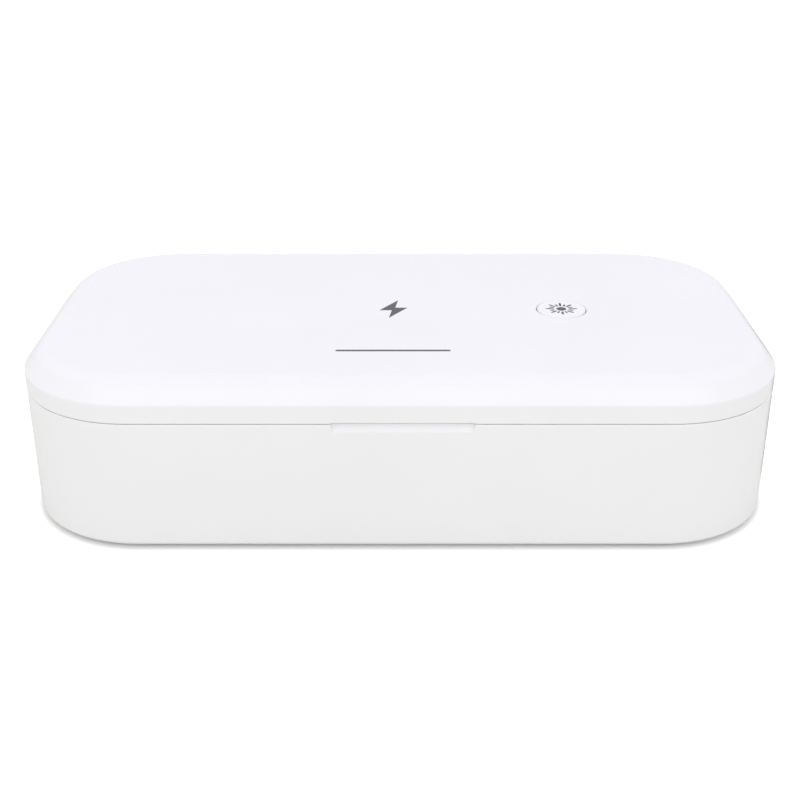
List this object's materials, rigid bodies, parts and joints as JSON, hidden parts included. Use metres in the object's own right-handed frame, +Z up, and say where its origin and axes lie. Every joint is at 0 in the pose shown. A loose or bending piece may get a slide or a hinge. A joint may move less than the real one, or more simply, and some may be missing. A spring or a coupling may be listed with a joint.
{
  "type": "phone sanitizer box",
  "caption": "Rounded white tabletop box with a bevelled hinged lid, a round start button, a finger notch, and an ultraviolet chamber inside.",
  "frame": {"origin": "on the table, under the middle of the whole footprint, the hinges behind the case included", "axes": "+X to the right along the case's width, +Y to the rear where the hinges are, +Z up; the front with the finger notch looks towards -Y"},
  "size_m": [0.22, 0.122, 0.0516],
  "materials": {
    "white_shell": "gloss white moulded ABS",
    "white_liner": "white moulded ABS, light spark texture",
    "button_cap": "gloss white moulded ABS cap with a printed sun mark",
    "clear_silicone": "translucent silicone",
    "seal_silicone": "opaque white silicone",
    "quartz_window": "polished fused quartz",
    "lamp_board": "white solder mask on aluminium core board",
    "lamp_package": "ceramic lamp package with a gold rim",
    "green_board": "green solder mask on glass-epoxy board",
    "component_body": "black moulded epoxy",
    "zinc_screw": "zinc-plated steel",
    "socket_steel": "nickel-plated stainless sleeve",
    "pin_steel": "ground stainless steel",
    "magnet_nickel": "nickel-plated neodymium",
    "grey_rubber": "matt grey rubber",
    "coil_copper": "enamelled copper litz wire",
    "ferrite": "dull dark ferrite sheet",
    "plunger_nylon": "natural nylon"
  },
  "bodies": {
    "base": {"base_shell": "white_shell", "chamber_tray": "white_liner", "phone_rests": "clear_silicone", "base_lamp_windows": "quartz_window", "base_lamp_boards": "lamp_board", "base_lamps": "lamp_package", "main_board": "green_board", "main_board_components": "component_body", "main_board_screws": "zinc_screw", "usb_socket": "socket_steel", "lid_sensor": "green_board", "base_magnets": "magnet_nickel", "hinge_pins": "pin_steel", "rubber_feet": "grey_rubber", "tray_screws": "zinc_screw"},
    "lid": {"lid_shell": "white_shell", "inner_panel": "white_liner", "light_seal": "seal_silicone", "lid_lamp_windows": "quartz_window", "lid_lamp_boards": "lamp_board", "lid_lamps": "lamp_package", "charging_coil": "coil_copper", "ferrite_sheet": "ferrite", "coil_carrier": "white_liner", "carrier_screws": "zinc_screw", "charging_board": "green_board", "charging_components": "component_body", "switch_board": "green_board", "switch_housing": "component_body", "indicator_lamp": "lamp_package", "lid_magnets": "magnet_nickel", "sensor_magnet": "magnet_nickel", "panel_screws": "zinc_screw"},
    "button": {"start_button": "button_cap", "switch_plunger": "plunger_nylon"}
  },
  "joints": [
    {"name": "lid_hinge", "type": "hinge", "parent": "base", "child": "lid", "pos_m": [0, 0.05764, 0.0396], "axis": [-1, 0, 0], "range_deg": [0, 105]},
    {"name": "button_press", "type": "slide", "parent": "lid", "child": "button", "axis": [0, 0, -1], "range_m": [0, 0.0005], "stiffness_N_per_m": 600}
  ]
}
